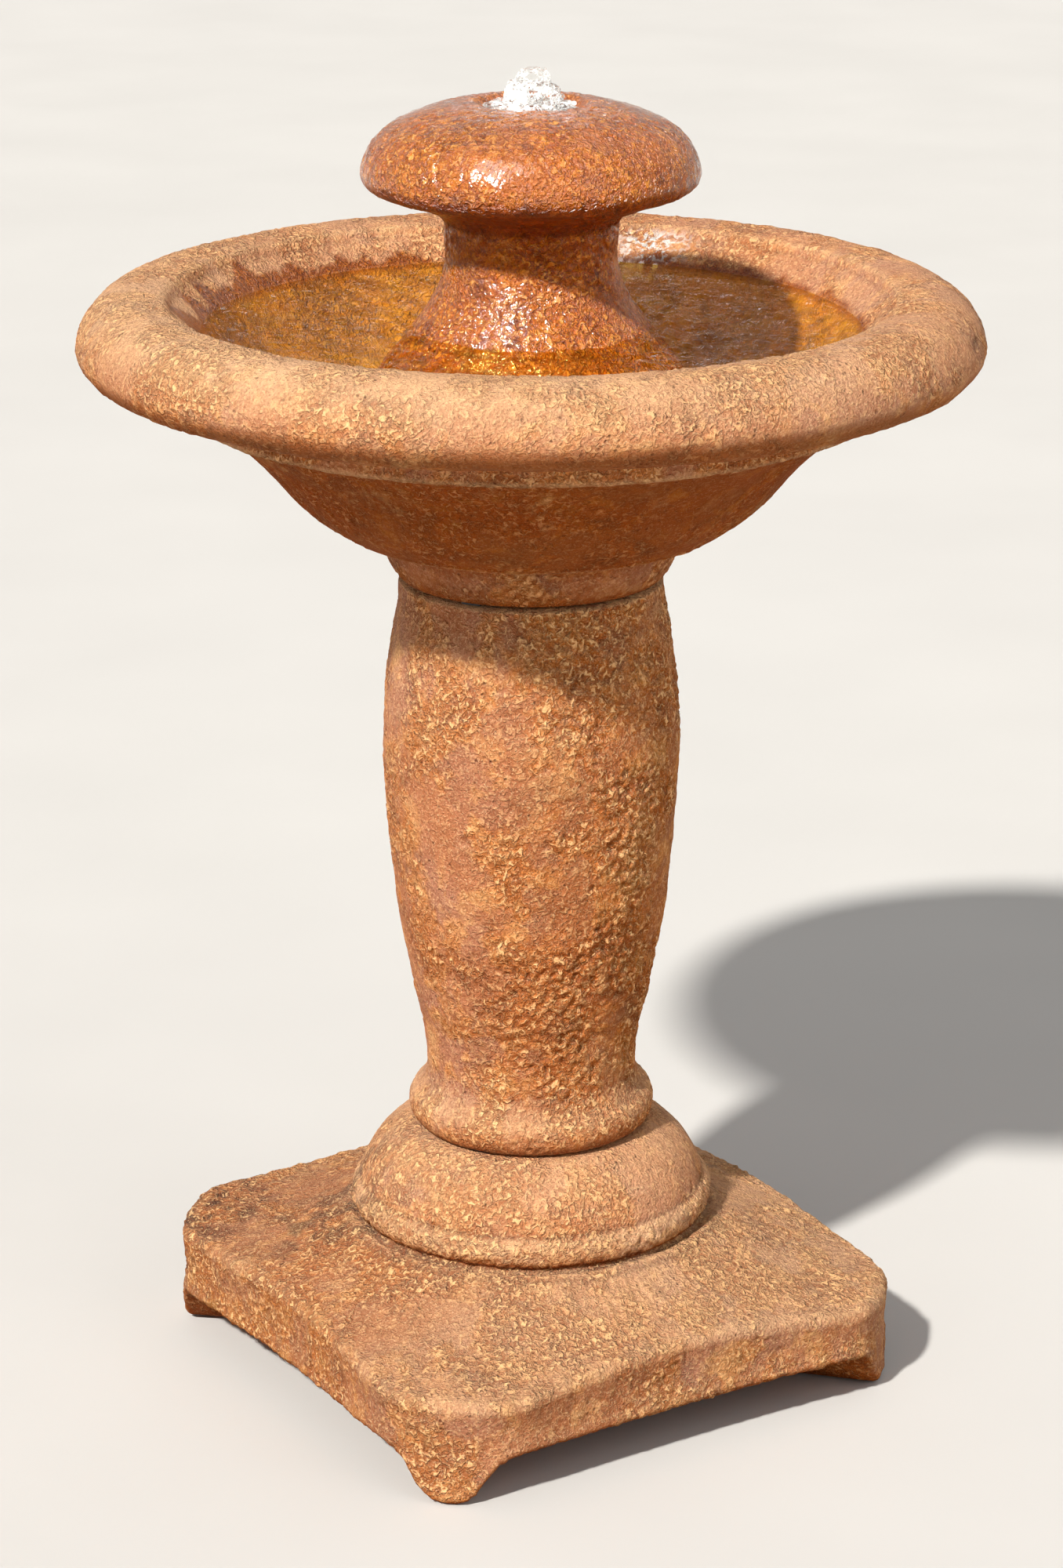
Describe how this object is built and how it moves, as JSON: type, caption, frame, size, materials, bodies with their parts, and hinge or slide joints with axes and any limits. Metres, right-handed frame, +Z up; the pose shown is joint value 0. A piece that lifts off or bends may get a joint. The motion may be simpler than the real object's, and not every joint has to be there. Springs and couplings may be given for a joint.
{
  "type": "bubbler fountain with submersible pump",
  "caption": "Cast-stone pedestal fountain: square plinth, baluster pedestal, wide basin and mushroom finial hiding a magnet-drive submersible pump that feeds a central bubbler.",
  "frame": {"origin": "on the ground, at the middle of the square plinth, under the fountain's vertical axis", "axes": "+Z up; the plinth's sides lie along X and Y; the pump's motor axis is along X with its intake towards +X; the mains cord leaves under the plinth's +Y side"},
  "size_m": [0.5839, 0.584, 0.864],
  "materials": {
    "cast_stone": "weathered ochre-brown cast stone, pitted",
    "wet_stone": "the same cast stone, wet and glossy",
    "shim_plastic": "matt",
    "copper": "drawn copper tube, slightly tarnished",
    "black_rubber": "matt",
    "clear_vinyl": "clear, slightly milky",
    "stainless": "rolled",
    "pump_plastic": "satin moulded",
    "core_steel": "stacked laminations",
    "bobbin_plastic": "matt moulded",
    "copper_wire": "enamelled wire",
    "resin": "cast epoxy",
    "shaft_ceramic": "ground",
    "ferrite": "pressed ferrite",
    "impeller_plastic": "moulded",
    "strainer_plastic": "moulded",
    "filter_foam": "open-cell foam",
    "dial_plastic": "moulded",
    "cup_rubber": "soft, slightly glossy",
    "cord_jacket": "matt jacket",
    "brass_plate": "bright"
  },
  "bodies": {
    "stand": {"base_plinth": "cast_stone", "pedestal": "cast_stone", "bowl": "cast_stone", "lower_shims": "shim_plastic", "upper_shims": "shim_plastic", "motor_housing": "pump_plastic", "stator_core": "core_steel", "coil_bobbins": "bobbin_plastic", "stator_coils": "copper_wire", "potting_resin": "resin", "rear_cover": "pump_plastic", "cable_gland": "black_rubber", "rotor_shaft": "shaft_ceramic", "rear_bush": "black_rubber", "front_bush": "black_rubber", "volute_casing": "pump_plastic", "housing_o_ring": "black_rubber", "outlet_adapter": "pump_plastic", "suction_cups": "cup_rubber", "power_cord": "cord_jacket", "plug_body": "cord_jacket", "plug_blades": "brass_plate", "ground_pin": "brass_plate"},
    "finial": {"finial": "wet_stone", "spout_pipe": "copper", "pipe_grommet": "black_rubber", "riser_hose": "clear_vinyl", "hose_clamp": "stainless", "clamp_screw": "stainless"},
    "rotor": {"rotor_magnet": "ferrite", "rotor_sleeve": "bobbin_plastic", "impeller": "impeller_plastic"},
    "strainer": {"intake_strainer": "strainer_plastic", "foam_filter": "filter_foam"},
    "dial": {"flow_dial": "dial_plastic"},
    "stopper": {"cord_stopper": "black_rubber"}
  },
  "joints": [
    {"name": "finial_lift", "type": "slide", "parent": "stand", "child": "finial", "axis": [0, 0, 1], "range_m": [0, 0.22]},
    {"name": "rotor_spin", "type": "hinge", "parent": "stand", "child": "rotor", "pos_m": [0, 0, 0.674], "axis": [1, 0, 0], "continuous": true},
    {"name": "strainer_slide", "type": "slide", "parent": "stand", "child": "strainer", "axis": [1, 0, 0], "range_m": [0, 0.018]},
    {"name": "flow_dial_turn", "type": "hinge", "parent": "strainer", "child": "dial", "pos_m": [0.0345, 0, 0.674], "axis": [1, 0, 0], "range_deg": [0, 30]},
    {"name": "stopper_pull", "type": "slide", "parent": "stand", "child": "stopper", "axis": [0, 0, 1], "range_m": [0, 0.026]}
  ]
}
